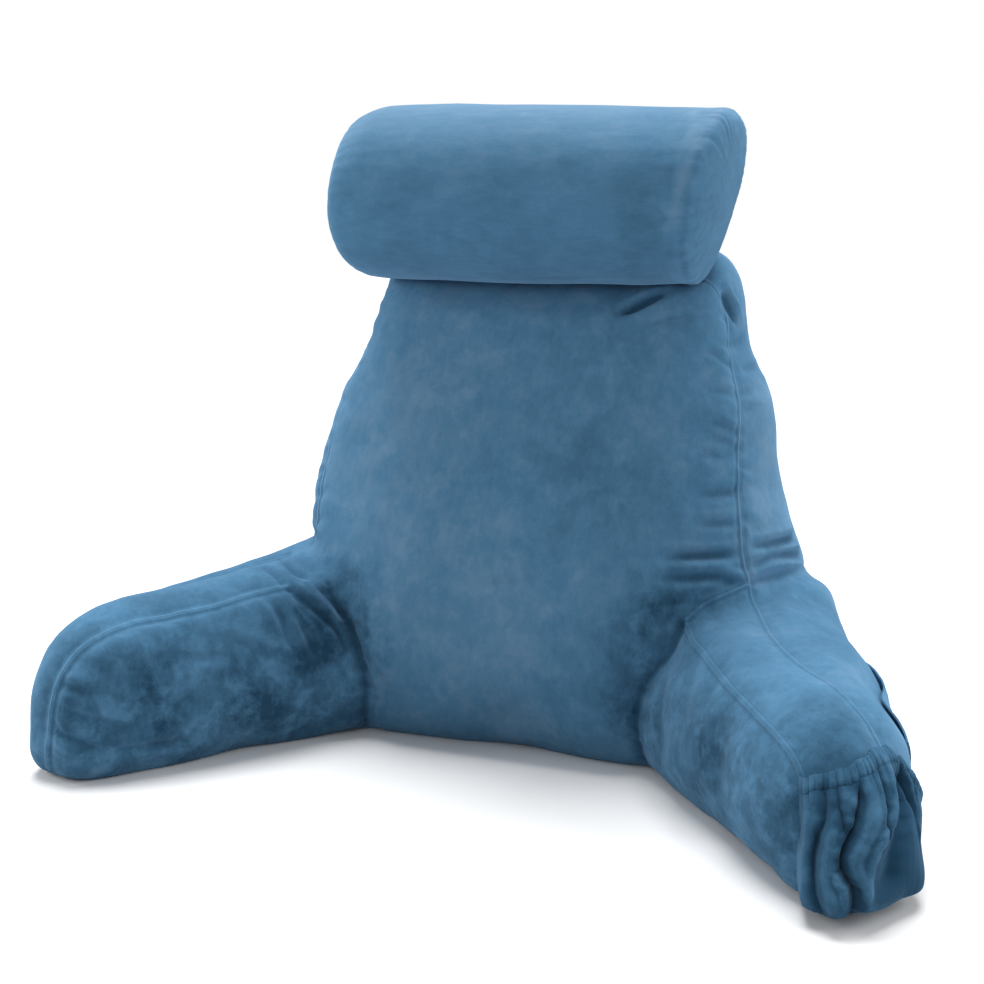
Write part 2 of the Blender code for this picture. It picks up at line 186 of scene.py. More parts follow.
def plushMaterial(name, tone=0.0, brush=(1.0, 1.0, 0.45), sewn=False, sheen=1.0):
    # tone makes all of the nap lighter or darker, brush stretches its streaks, sewn draws the seams with a
    # painted highlight on their ridges and painted shade in their grooves
    shader = Shader(name)
    size, shown = plush["patchSize"], plush["shown"]
    where = shader.add("ShaderNodeTexCoord", "Object", {}, {})
    turned = {"Vector": where, "Scale": brush, "Rotation": (0.1, 0.25, 0.15)}
    brushed = shader.add("ShaderNodeMapping", 0, {}, turned)
    broad = shader.noise(brushed, 0.45 / size, 2.0, 0.5, 0.2)
    patch = shader.noise(where, 1.0 / size, 5.0, 0.60, 0.2)
    blotch = ((shader.noise(where, 1.5 / size, 5.0, 0.60, 0.25) - 0.47) * 6.0).clamped()
    small = ((shader.noise(where, 3.6 / size, 4.0, 0.6, 0.3) - 0.48) * 6.0).clamped()
    streak = shader.noise(brushed, plush["streaks"], 3.0, 0.6, 0.4)
    fleck = shader.noise(where, plush["flecks"], 2.0, 0.6)
    nap = (broad - 0.5) * shown["broad"] + (patch - 0.5) * shown["patch"]
    nap = nap + (blotch - 0.6) * shown["blotch"] + (small - 0.5) * shown["small"]
    # the lie of the nap, with the painted light and shade that each piece carries in the same attribute
    nap = 0.5 + tone + shader.attribute("napLie") + nap * shader.attribute("mottled")
    nap = nap + (streak - 0.5) * shown["streak"] + (fleck - 0.5) * shown["fleck"]
    # painted shade in creases, gathers, joints and sewn lines
    dark = (shader.attribute("creased") * plush["paintedShadeStrength"]).clamped()
    height = fleck * 0.7 + streak * 0.9 + patch * 0.5
    if sewn:
        side = abs(shader.attribute("seamSide"))
        flat = shader.attribute("seamFlat")
        near = ((stitching["reach"] - shader.attribute("seamAway")) * 500.0).clamped()
        thin, wide = stitching["thin"], stitching["flat"]
        ridge = seamLine(side, *thin["ridge"]) * (1.0 - flat) + seamLine(side, *wide["ridge"]) * flat
        groove = seamLine(side, *thin["groove"]) * (1.0 - flat) + seamLine(side, *wide["groove"]) * flat
        # a painted highlight along the seam's ridge and painted shade in its groove
        nap = nap + near * ridge * stitching["paler"]
        dark = (dark + near * groove * stitching["darker"]).clamped()
        raised = ((wide["raised"] - side) * 900.0).clamped() * flat
        raised = raised + (1.0 - side / thin["raised"]).clamped() * (1.0 - flat)
        height = height + near * raised * stitching["height"]
    low = shader.mix((nap * 2.0).clamped(), plush["deep"], plush["mid"])
    colour = shader.mix((nap * 2.0 - 1.0).clamped(), low, plush["light"])
    colour = shader.mix(dark, colour, plush["deep"])
    bump = shader.add("ShaderNodeBump", 0, {}, {"Strength": 0.5, "Distance": plush["pile"], "Height": height})
    shader.set(
        Base_Color=colour, Roughness=plush["roughness"], Specular_IOR_Level=0.0, Normal=bump,
        Sheen_Weight=plush["sheen"] * sheen, Sheen_Roughness=plush["sheenRoughness"],
        Sheen_Tint=(*plush["sheenTint"], 1.0),
    )
    return shader.material


# Number and mesh helpers


def unit(value):
    # the value held from 0 to 1
    return min(1.0, max(0.0, value))


def eased(share):
    return share * share * (3 - 2 * share)


def hill(away, width):
    # 1 in the middle, falling off smoothly on both sides
    return math.exp(-((away / width) ** 2))


def metres(table):
    # a table in millimetres, turned into metres
    return tuple(metres(item) for item in table) if isinstance(table, tuple) else table / 1000


def addObject(name, mesh):
    obj = bpy.data.objects.new(name, mesh)
    bpy.context.scene.collection.objects.link(obj)
    return obj


def meshFrom(name, shape):
    mesh = bpy.data.meshes.new(name)
    shape.to_mesh(mesh)
    shape.free()
    return mesh


def settled(obj):
    # the object's mesh with its modifiers applied
    graph = bpy.context.evaluated_depsgraph_get()
    mesh = bpy.data.meshes.new_from_object(obj.evaluated_get(graph))
    obj.modifiers.clear()
    obj.data = mesh
    return mesh


def rowsOf(items, name):
    # three numbers for each item
    found = np.empty(len(items) * 3, np.float32)
    items.foreach_get(name, found)
    return found.reshape(-1, 3).astype(np.float64)


def pointsOf(mesh):
    return rowsOf(mesh.vertices, "co")


def normalsOf(mesh):
    return rowsOf(mesh.vertex_normals, "vector")


def placePoints(mesh, points):
    mesh.vertices.foreach_set("co", points.astype(np.float32).ravel())
    mesh.update()


def surfaceOf(mesh):
    return BVHTree.FromPolygons([v.co for v in mesh.vertices], [p.vertices for p in mesh.polygons])


def joinedNodes(name, nodes, swell=0.0):
    # one mesh from copies of CAD nodes, each grown a little so that neighbours meet
    whole = bmesh.new()
    for node in nodes:
        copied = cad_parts[node].data.copy()
        copied.transform(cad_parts[node].matrix_world)
        single = bmesh.new()
        single.from_mesh(copied)
        bmesh.ops.remove_doubles(single, verts=single.verts, dist=0.00002)
        single.normal_update()
        for vert in single.verts:
            vert.co += vert.normal * swell
        single.to_mesh(copied)
        single.free()
        whole.from_mesh(copied)
        bpy.data.meshes.remove(copied)
    return addObject(name, meshFrom(name, whole))


def evened(obj, voxel, relaxing):
    remesh = obj.modifiers.new("even", "REMESH")
    remesh.mode = "VOXEL"
    remesh.voxel_size = voxel
    settled(obj)
    return relaxed(obj, relaxing)


def relaxed(obj, times, weights=None):
    relax = obj.modifiers.new("relax", "SMOOTH")
    relax.factor = 0.5
    relax.iterations = times
    if weights is not None:
        group = obj.vertex_groups.new(name="relaxed")
        for index, weight in enumerate(weights):
            group.add((index,), float(weight), "REPLACE")
        relax.vertex_group = group.name
    mesh = settled(obj)
    obj.vertex_groups.clear()
    return mesh


def finer(obj):
    smooth = obj.modifiers.new("finer", "SUBSURF")
    smooth.levels = smooth.render_levels = 1
    return settled(obj)


def curveThrough(points, step=0.002):
    # points a step apart on a smooth curve through the given ones
    given = [Vector(point) for point in points]
    given = [given[0] * 2 - given[1], *given, given[-1] * 2 - given[-2]]
    fine = []
    for p0, p1, p2, p3 in zip(given, given[1:], given[2:], given[3:]):
        count = max(2, int((p2 - p1).length / step * 2))
        for index in range(count):
            t = index / count
            fine.append(0.5 * (2 * p1 + (p2 - p0) * t + (2 * p0 - 5 * p1 + 4 * p2 - p3) * t * t
                               + (3 * p1 - p0 - 3 * p2 + p3) * t**3))
    fine.append(given[-2])
    made = [fine[0]]
    for point in fine[1:]:
        if (point - made[-1]).length >= step:
            made.append(point)
    return made


def laidOn(surface, points, step=0.002):
    # the same curve, dropped on a surface
    return [surface.find_nearest(point)[0] for point in curveThrough(points, step)]


def mirrored(points):
    return tuple((-x, y, z) for x, y, z in points)


class Lines:
    # sampled lines on a surface, each sample with its own numbers
    def __init__(self):
        self.spots = []
        self.values = []
        self.count = 0

    def add(self, spots, values=()):
        self.spots += spots
        self.values += values
        self.count += 1

    def tree(self):
        tree = KDTree(len(self.spots))
        for index, spot in enumerate(self.spots):
            tree.insert(spot, index)
        tree.balance()
        return tree


# The cover: backrest and arms, sewn as one

arm = {
    "foot": (0.172, -0.110),
    "splay": 39.0,
    # how high an arm reaches where it leaves the backrest, and where its wrinkles end
    "top": 0.215,
    "wrinkled": 0.165,
}


def armAxes(side):
    # where an arm starts, the way it runs, and the way across it
    splay = math.radians(arm["splay"])
    return (Vector((side * arm["foot"][0], arm["foot"][1], 0.0)),
            Vector((side * math.sin(splay), -math.cos(splay), 0.0)),
            Vector((side * math.cos(splay), math.sin(splay), 0.0)))


cover = {
    "voxel": 0.0085,
    "relaxing": 6,
    # the underside's edge is relaxed more, up to a height and fading over a length
    "footRelaxing": 26,
    "footEdge": (0.034, 0.02),
    # the nap: how mottled on the backrest and on the arms; painted shade on the arms' sides and tops, and
    # painted light on the whole backrest
    "mottled": (0.36, 0.92),
    "armShade": (-0.07, -0.10),
    "backPaintedLight": 0.07,
    "brushDepth": 0.09,
    "swell": 0.0012,
    # height and size of the lumps, then of the crumples on them
    "lumps": ((0.0030, 0.10), (0.0005, 0.025)),
    # wrinkles of the left arm and of the right one: height, size along the arm, size up it, seed
    "wrinkles": {-1: (0.0018, 0.050, 0.014, 4.0), 1: (0.0004, 0.026, 0.060, 8.0)},
    "frames": 20,
    "pressure": 3.5,
    "slack": -0.02,
    "bending": 4.0,
    "cap": 0.010,
    "evenOut": 14,
    # beside a seam: how close the cloth is pinned as it swells, and how near to it the mesh is refined
    "pinned": 0.007,
    "refined": {"seams": 0.008, "folds": 0.0075},
    # how much a seam pulls the cloth in, and how much it holds a fold back, each with its width
    "pullIn": (0.0030, 0.016),
    "held": (0.8, 0.0065),
    # how deep a fold is where its painted shade is darkest, how fast it gets there, how dark the painted
    # shade gets
    "creaseShade": (0.006, 1.7, 0.85),
    # painted shade along the joint seams and the soft seams, and its width
    "joinShade": {"joint": 0.8, "soft": 0.4},
    "joinWidth": 0.0035,
    "foldReach": 0.018,
    "foldDeepest": 0.010,
    "clear": 0.0012,
    # centre, reach, push: where the filling stands fuller or slacker
    "fuller": metres((
        ((-270, 10, 320), (100, 160, 100), (-12, 0, 0)),
        ((-205, 20, 450), (60, 120, 60), (3, 0, 0)),
        ((240, -160, 70), (70, 70, 80), (-6, -4, 0)),
        ((-400, -310, 140), (80, 100, 70), (-6, 0, 15)),
        ((405, -120, 160), (90, 140, 70), (8, 0, 8)),
        ((443, -238, 95), (70, 70, 60), (8, 6, 0)),
        ((425, -205, 140), (35, 35, 30), (-4, -2, 0)),
        ((430, -172, 147), (32, 36, 30), (-10, -2, -3)),
        ((-435, -360, 0), (50, 60, 40), (-12, -5, 0)),
        ((290, 70, 310), (60, 100, 60), (-9, 0, 0)),
        ((240, 100, 480), (50, 80, 60), (-9, 0, 0)),
        ((300, 90, 190), (70, 90, 35), (16, 0, 0)),
    )),
}

# Seams of the right half; the left half mirrors them where it has none of its own.
backFront = metres((
    (0, 10, 561), (120, 12, 558), (176, 16, 546), (203, 22, 523), (219, 26, 490), (229, 18, 454),
    (239, -3, 403), (248, -35, 319), (254, -50, 267), (258, -57, 238), (269, -63, 211), (279, -80, 190),
    (305, -137, 178), (332, -183, 171), (356, -217, 167), (380, -240, 165), (403, -266, 160),
    (421, -286, 149), (437, -303, 132), (452, -318, 100), (458, -327, 55), (456, -330, 2),
))
backRear = metres((
    (0, 140, 561), (120, 139, 559), (180, 138, 545), (204, 136, 510), (219, 134, 455), (240, 130, 380),
    (259, 124, 300), (273, 118, 215), (277, 110, 140), (270, 100, 60), (240, 92, 4),
))
armInnerRight = metres((
    (207, -104, 172), (224, -132, 161), (247, -167, 156), (284, -229, 147), (318, -280, 142),
    (354, -331, 136), (374, -356, 124), (386, -368, 100), (392, -376, 60), (392, -376, 2),
))
armInnerLeft = metres((
    (-256, -150, 178), (-264, -162, 178), (-278, -184, 176), (-300, -222, 171), (-329, -260, 164),
    (-357, -300, 157), (-371, -325, 148), (-385, -346, 136), (-397, -362, 121), (-407, -374, 100),
    (-413, -381, 76), (-417, -383, 50), (-421, -381, 2),
))
crossSeam = metres((
    (207, -104, 172), (224, -92, 190), (252, -76, 204), (269, -63, 211), (282, -21, 210),
    (288, 50, 203), (286, 112, 198),
))
jointRight = metres((
    (207, -104, 172), (197, -118, 142), (181, -123, 121), (170, -124, 103), (164, -125, 86),
    (162, -127, 52), (165, -123, 24), (167, -114, 2),
))
jointLeft = metres((
    (-218, -116, 176), (-209, -120, 161), (-190, -122, 133), (-178, -126, 105), (-167, -128, 69),
    (-170, -124, 30), (-173, -114, 2),
))
# the left arm's top edge lies a little further in than the right one's
leftTop = tuple((x - 0.014, y + 0.011, z - 0.004) for x, y, z in mirrored(backFront[11:]))
# points, kind, how strongly the cloth puckers beside it
seams = (
    (backFront[:11], "thin", 1.5),
    (backFront[10:], "thin", 0.2),
    (mirrored(backFront[:11]), "thin", 1.5),
    (leftTop, "thin", 0.2),
    (backRear, "thin", 0.7),
    (mirrored(backRear), "thin", 0.7),
    (armInnerRight, "flat", 0.2),
    (armInnerLeft, "flat", 0.35),
    (crossSeam[:4], "thin", 0.15),
    (crossSeam[3:], "soft", 0.15),
    (mirrored(crossSeam[3:]), "soft", 0.15),
    (jointRight, "joint", 0.35),
    (jointLeft, "joint", 0.8),
)
# How a seam dents the cloth: depth, how far from the seam, width; the shader adds the fine ridge
seamDents = {
    "joint": (0.0040, 0.0, 0.0055),
    "soft": (0.0016, 0.0, 0.0045),
    "flat": (0.0008, 0.0075, 0.0030),
    "thin": (0.0009, 0.0040, 0.0026),
}
# A flat seam also raises a band: height, half width, how soft its edge is
flatBand = (0.0008, 0.0040, 0.0008)
# Short puckers beside a seam, each drawn from these ranges
puckers = {
    "seed": 7,
    "apart": (6, 13),
    "missing": 0.3,
    "lean": 0.5,
    "bend": 0.05,
    "length": (0.016, 0.050),
    "depth": (0.0008, 0.0026),
    "width": (0.0036, 0.0065),
    "step": 0.003,
}
# Single folds in the cloth: where they run, how deep and how wide
creases = metres((
    # under the roll
    (((103, -18, 496), (128, -8, 508), (150, -7, 524)), 11, 6.5),
    (((136, -25, 483), (164, -19, 493), (184, -11, 496)), 3, 5.5),
    # left arm where it meets the backrest
    (((-262, -152, 183), (-238, -146, 165), (-216, -135, 141), (-202, -130, 127), (-183, -134, 96)),
      8, 4.6),
    (((-232, -127, 174), (-216, -123, 160), (-200, -118, 143), (-188, -117, 125), (-174, -126, 104),
      (-159, -130, 73)), 7.5, 5.2),
    (((-254, -154, 173), (-240, -151, 159), (-226, -150, 144)), 4.5, 4.6),
    (((-267, -178, 173), (-245, -184, 153), (-231, -188, 125), (-224, -187, 107)), 4, 6),
    (((-235, -161, 148), (-217, -167, 121), (-209, -163, 106)), 3.2, 5.5),
    (((-302, -126, 191), (-266, -146, 184), (-250, -148, 177)), 4.5, 5.5),
    (((-293, -92, 194), (-259, -121, 191), (-235, -127, 178)), 5, 5.5),
    (((-187, -119, 135), (-165, -133, 131), (-156, -136, 121)), 2.2, 5),
    (((-158, -132, 93), (-142, -139, 83), (-135, -138, 69)), 2.2, 5),
    (((-200, -150, 100), (-186, -148, 84), (-178, -140, 60)), 3, 5),
    # left arm, lower face and tip
    (((-406, -386, 61), (-382, -379, 49), (-365, -363, 35)), 4.6, 5),
    (((-405, -378, 106), (-381, -376, 101), (-366, -366, 96)), 4.2, 5),
    (((-365, -363, 35), (-332, -323, 36), (-301, -283, 34)), 3, 5.5),
    (((-403, -385, 84), (-372, -373, 73), (-342, -345, 60)), 4.4, 5.2),
    (((-359, -353, 104), (-330, -310, 110), (-298, -272, 120)), 1.6, 7),
    (((-287, -246, 137), (-240, -200, 105), (-197, -159, 63)), 1.8, 7),
    # backrest beside the right seam
    (((200, -10, 456), (218, -2, 446), (230, 21, 434)), 3.6, 5.5),
    (((198, -29, 415), (217, -15, 412), (237, 3, 405)), 2.8, 5.5),
    (((212, -35, 383), (227, -27, 376), (240, -10, 366)), 4.4, 5.2),
    (((205, -51, 347), (225, -40, 345), (243, -18, 347)), 3, 6),
    (((202, -66, 306), (225, -52, 306), (247, -31, 306)), 4.2, 6),
    (((209, -76, 275), (233, -63, 275), (253, -43, 273)), 4.5, 5.5),
    (((178, -96, 239), (201, -87, 241), (230, -68, 240), (255, -56, 243)), 8, 5.5),
    (((175, -103, 217), (207, -90, 218), (232, -78, 218), (266, -62, 209)), 7.5, 6),
    (((212, -93, 204), (234, -84, 206), (256, -69, 211)), 4, 5),
    (((118, -127, 149), (145, -129, 125), (165, -129, 98)), 3, 9),
    # right gusset
    (((231, 25, 431), (242, 60, 430), (248, 90, 428)), 3, 5.5),
    (((263, -46, 247), (280, -17, 246), (291, 49, 240), (290, 85, 238)), 8.5, 5.5),
    (((268, -46, 229), (283, -13, 233), (296, 57, 221), (294, 90, 217)), 7, 5.8),
    (((270, -55, 214), (287, -14, 211), (304, 30, 209)), 3.5, 5),
    (((205, 34, 518), (215, 38, 500), (224, 46, 484)), 11, 7),
    # belly and right arm
    (((-37, -121, 188), (10, -119, 199), (51, -116, 204)), 1.2, 7),
    (((278, -57, 192), (310, -100, 182), (337, -140, 177)), 1.4, 8),
    (((236, -152, 158), (240, -180, 130), (240, -204, 99)), 1, 9),
    (((199, -133, 126), (198, -155, 95), (205, -172, 62)), 1.4, 9),
    (((260, -238, 39), (315, -302, 36), (375, -369, 40)), 1.4, 9),
))
# Patches where the nap lies the other way, partly painted shade on the arms' inner faces and where they meet
# the backrest, and painted light on the right arm's top; darker patches only show on faces toward the seat:
# centre, reach along x and z, and in thousandths how much paler
brushed = metres((
    ((115, -100, 285), 85, 100, -70),
    ((20, -100, 330), 120, 50, -80),
    ((-130, -100, 330), 110, 160, 100),
    ((60, -100, 460), 160, 40, -50),
    ((0, -120, 110), 120, 80, 70),
    ((-300, -300, 80), 130, 70, -100),
    ((-230, -170, 120), 50, 60, -140),
    ((330, -220, 160), 70, 30, 160),
    ((260, -220, 90), 110, 65, -150),
    ((187, -105, 200), 50, 40, -140),
    ((-205, -125, 135), 32, 35, -200),
    ((-208, -155, 100), 16, 18, -240),
    ((-248, -200, 58), 18, 20, -240),
    ((-330, -270, 120), 24, 22, -180),
    ((-395, -340, 110), 20, 30, -140),
    ((370, -330, 60), 60, 60, -140),
    ((300, -120, 182), 45, 30, 140),
    ((235, -75, 215), 30, 18, -80),
    ((400, -315, 140), 40, 30, -160),
    ((270, 40, 350), 40, 110, 140),
    ((410, -180, 150), 50, 40, 100),
    ((110, -120, 110), 60, 60, -120),
))


def seamProfile(kind, away):
    # how far the cloth stands up at a distance from a seam
    depth, middle, width = seamDents[kind]
    rise = -depth * hill(away - middle, width)
    if kind == "flat":
        height, half, soft = flatBand
        rise += height / (1.0 + math.exp((away - half) / soft))
    return rise


def puckerLines(lines, surface, spots, strength, dice):
    # short valleys that run from a seam into the cloth beside it
    lean, most, step = puckers["lean"], puckers["bend"], puckers["step"]
    index = 4
    while index < len(spots) - 6:
        here = spots[index]
        run = (spots[index + 2] - spots[index - 2]).normalized()
        for side in (-1, 1):
            if dice.random() < puckers["missing"]:
                continue
            normal = surface.find_nearest(here)[1]
            heading = (run.cross(normal) * side + run * dice.uniform(-lean, lean)).normalized()
            bend = dice.uniform(-most, most)
            length = dice.uniform(*puckers["length"]) * (0.6 + 0.7 * strength)
            depth = dice.uniform(*puckers["depth"]) * strength
            width = dice.uniform(*puckers["width"])
            steps = int(length / step)
            spot = here + heading * 0.002
            trail, values = [], []
            for number in range(steps):
                share = number / steps
                found, normal = surface.find_nearest(spot)[:2]
                heading = (heading - normal * heading.dot(normal)).normalized()
                heading = (heading + run * bend).normalized()
                trail.append(found.copy())
                values.append((lines.count, depth * (1 - share) ** 1.2, width * (1 + 0.9 * share)))
                spot = found + heading * step
            lines.add(trail, values)
        index += dice.randint(*puckers["apart"])


def creaseLines(lines, surface, folds):
    # each fold is deepest in its middle and runs out at its ends
    for points, depth, width in folds:
        spots = laidOn(surface, points, 0.003)
        values = []
        for index in range(len(spots)):
            swell = math.sin(math.pi * (index + 0.5) / len(spots)) ** 0.6
            values.append((lines.count, depth * swell, width))
        lines.add(spots, values)


def foldDepth(lines, points):
    # how far each point sinks into the valleys round it, with the cloth standing up a little beside each
    tree = lines.tree()
    sunk = np.zeros(len(points))
    for index, point in enumerate(points):
        nearest = {}
        for _, near, away in tree.find_range(point, cover["foldReach"]):
            number, depth, width = lines.values[near]
            ratio = away / width
            if number not in nearest or ratio < nearest[number][0]:
                nearest[number] = (ratio, depth)
        for ratio, depth in nearest.values():
            sunk[index] += depth * (math.exp(-ratio * ratio) - 0.28 * hill(ratio - 1.9, 0.7))
    return cover["foldDeepest"] * np.tanh(sunk / cover["foldDeepest"])


def refineNear(mesh, trees):
    # smaller faces beside seams and folds
    shape = bmesh.new()
    shape.from_mesh(mesh)
    chosen = set()
    for face in shape.faces:
        middle = face.calc_center_median()
        if any(tree.find(middle)[2] < reach for tree, reach in trees):
            chosen.update(face.edges)
    bmesh.ops.subdivide_edges(shape, edges=list(chosen), cuts=1, use_grid_fill=True, smooth=0.0)
    shape.to_mesh(mesh)
    shape.free()


def spreadOut(mesh, values, times):
    # each point's values, averaged again and again with those of its neighbours
    ends = np.empty(len(mesh.edges) * 2, np.int32)
    mesh.edges.foreach_get("vertices", ends)
    first, second = ends[0::2], ends[1::2]
    count = np.bincount(ends, minlength=len(values)).astype(np.float64)[:, None]
    for _ in range(times):
        total = np.zeros_like(values)
        np.add.at(total, first, values[second])
        np.add.at(total, second, values[first])
        values = 0.4 * values + 0.6 * total / count
    return values


def swellCloth(obj, pinned, spec):
    # the cloth is blown up a little, and how far it may move is capped
    mesh = obj.data
    before = pointsOf(mesh)
    group = obj.vertex_groups.new(name="sewn")
    for index, weight in enumerate(pinned):
        if weight > 0.0:
            group.add((index,), float(weight), "REPLACE")
    cloth = obj.modifiers.new("cloth", "CLOTH")
    values = cloth.settings
    values.use_pressure = True
    values.uniform_pressure_force = spec["pressure"]
    values.effector_weights.gravity = 0.0
    values.shrink_min = spec["slack"]
    values.vertex_group_mass = group.name
    values.pin_stiffness = 1.0
    values.quality = 5
    values.mass = 0.3
    values.tension_stiffness = values.compression_stiffness = 15.0
    values.shear_stiffness = 5.0
    values.bending_stiffness = spec["bending"]
    cloth.collision_settings.use_collision = False
    cloth.point_cache.frame_start = 1
    cloth.point_cache.frame_end = spec["frames"]
    for step in range(1, spec["frames"] + 1):
        bpy.context.scene.frame_set(step)
    settled(obj)
    bpy.context.scene.frame_set(1)
    obj.vertex_groups.clear()
    moved = spreadOut(obj.data, pointsOf(obj.data) - before, spec["evenOut"])
    far = np.linalg.norm(moved, axis=1)
    share = np.minimum(1.0, spec["cap"] / np.maximum(far, 1e-9))
    placePoints(obj.data, before + moved * share[:, None])
    print("swelled", obj.name, "by up to", round(float(far.max()) * 1000, 1), "mm")


def tell(mesh, **attributes):
    # the numbers that the shader reads at each point
    for name, values in attributes.items():
        made = mesh.attributes.new(name, "FLOAT", "POINT")
        made.data.foreach_set("value", np.asarray(values, np.float32))


def finish(mesh, material):
    mesh.materials.clear()
    mesh.materials.append(material)
    mesh.shade_smooth()


def wrinkles(spot):
    # long soft wrinkles: along the left arm, down the right one
    side = 1 if spot.x > 0 else -1
    foot, ahead, over = armAxes(side)
    reach = (spot - foot).dot(ahead)
    if reach < 0.0:
        return 0.0
    height, length, tall, seed = cover["wrinkles"][side]
    inner = max(0.0, 1.0 - max(0.0, (spot - foot).dot(over)) / 0.03)
    low = unit((arm["wrinkled"] - spot.z) / 0.04)
    wave = noise.noise(Vector((reach / length, spot.z / tall, seed)))
    return height * wave * inner * low * min(1.0, reach / 0.03)


def onArm(points):
    # 1 on the arms, 0 on the backrest
    share = np.zeros(len(points))
    for side in (-1, 1):
        foot, ahead, _ = armAxes(side)
        reach = (points - np.array(foot)) @ np.array(ahead)
        low = np.clip((arm["top"] - points[:, 2]) / 0.02, 0.0, 1.0)
        here = np.clip(reach / 0.02 + 0.5, 0.0, 1.0) * low * (points[:, 0] * side > 0)
        share = np.maximum(share, here)
    return share


def clearOf(points, other, gap):
    # points that lie in or on another piece are moved out of it
    for index, point in enumerate(points):
        near, normal = other.find_nearest(Vector(point), 0.04)[:2]
        if near is None:
            continue
        depth = (Vector(point) - near).dot(normal)
        if depth < gap:
            points[index] = near + normal * gap


def coverRelief(points, normals, folds, sewn, tree):
    # how far each point moves out, and what the shader is told of folds and seams there: the painted shade in
    # them, and where the seams run
    sunk = foldDepth(folds, points)
    shift = -sunk
    full, power, darkest = cover["creaseShade"]
    crease = np.clip(sunk / full, 0.0, 1.0) ** power * darkest
    side, apart, flat = np.zeros(len(points)), np.zeros(len(points)), np.zeros(len(points))
    holding, heldWidth = cover["held"]
    pull, pullWidth = cover["pullIn"]
    for index, point in enumerate(points):
        spot = Vector(point)
        near, number, away = tree.find(spot)
        kind, run = sewn.values[number]
        for height, wide in cover["lumps"]:
            shift[index] += height * noise.noise(spot / wide)
        shift[index] += wrinkles(spot)
        shift[index] += seamProfile(kind, away) - pull * hill(away, pullWidth)
        if kind != "joint":
            held = holding * hill(away, heldWidth)
            shift[index] += held * sunk[index]
            crease[index] *= 1.0 - held
        if kind in cover["joinShade"]:
            crease[index] = max(crease[index], hill(away, cover["joinWidth"]) * cover["joinShade"][kind])
            apart[index] = 0.02
            continue
        turn = run.cross(Vector(normals[index])).dot(spot - near)
        side[index] = math.copysign(min(away, 0.012), turn)
        apart[index] = min(away, 0.02)
        flat[index] = kind == "flat"
    return shift, {"creased": crease, "seamSide": side, "seamAway": apart, "seamFlat": flat}


def coverNap(points, normals):
    # how the nap lies at each point, with painted shade on the arms' sides and tops, painted light on the
    # backrest and the painted patches, and how mottled it is
    top = np.clip(normals[:, 2] * 1.6, 0.0, 1.0)
    onArms = onArm(points)
    sideShade, topShade = cover["armShade"]
    napAndLight = onArms * (sideShade * (1.0 - top) + topShade * top) + (1.0 - onArms) * cover["backPaintedLight"]
    # inward is 1 on what faces the seat, 0 on the outer sides of the arms
    across = np.array(armAxes(1)[2])
    outward = np.abs(normals[:, 0]) * across[0] * np.sign(normals[:, 0] * points[:, 0])
    inward = np.clip(0.9 - 1.4 * (outward + normals[:, 1] * across[1]), 0.0, 1.0)
    for centre, wide, tall, much in brushed:
        off = ((points[:, 0] - centre[0]) / wide) ** 2 + ((points[:, 2] - centre[2]) / tall) ** 2
        off += ((points[:, 1] - centre[1]) / cover["brushDepth"]) ** 2
        napAndLight += much * np.exp(-off) * (inward if much < 0.0 else 1.0)
    onBack, onSides = cover["mottled"]
    return napAndLight, onBack + (onSides - onBack) * onArms * (1.0 - top) * (0.4 + 0.6 * inward)


def makeCover(rollSurface):
    obj = joinedNodes("pillowCover", ("back_cushion", "arm_left", "arm_right"), cover["swell"])
    mesh = evened(obj, cover["voxel"], cover["relaxing"])
    edge, fade = cover["footEdge"]
    mesh = relaxed(obj, cover["footRelaxing"], np.clip((edge - pointsOf(mesh)[:, 2]) / fade, 0.0, 1.0))
    surface = surfaceOf(mesh)
    sewn = Lines()
    for points, _, _ in seams:
        sewn.add(laidOn(surface, points))
    tree = sewn.tree()
    pinned = [max(0.0, 1.0 - tree.find(v.co)[2] / cover["pinned"]) for v in mesh.vertices]
    swellCloth(obj, pinned, cover)
    relaxed(obj, 2)
    mesh = finer(obj)
    surface = surfaceOf(mesh)
    dice = random.Random(puckers["seed"])
    folds, sewn = Lines(), Lines()
    for points, kind, strength in seams:
        puckerLines(folds, surface, laidOn(surface, points), strength, dice)
        fine = laidOn(surface, points, 0.0007)
        sewn.add(fine[:-1], [(kind, (b - a).normalized()) for a, b in zip(fine, fine[1:])])
    creaseLines(folds, surface, creases)
    tree = sewn.tree()
    refineNear(mesh, ((tree, cover["refined"]["seams"]), (folds.tree(), cover["refined"]["folds"])))
    points, normals = pointsOf(mesh), normalsOf(mesh)
    shift, told = coverRelief(points, normals, folds, sewn, tree)
    napAndLight, mottled = coverNap(points, normals)
    for centre, reach, push in cover["fuller"]:
        off = (((points - centre) / reach) ** 2).sum(axis=1)
        points += np.exp(-off)[:, None] * push
    points += normals * shift[:, None]
    clearOf(points, rollSurface, cover["clear"])
    points[:, 2] = np.maximum(points[:, 2], 0.0)
    placePoints(mesh, points)
    tell(mesh, napLie=napAndLight, mottled=mottled, **told)
    finish(mesh, plushMaterial("coverPlush", sewn=True))
    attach(obj, "root")
    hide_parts("back_cushion", "arm_left", "arm_right")
    print("made the cover", len(mesh.polygons), "faces")
    return obj


# The neck roll

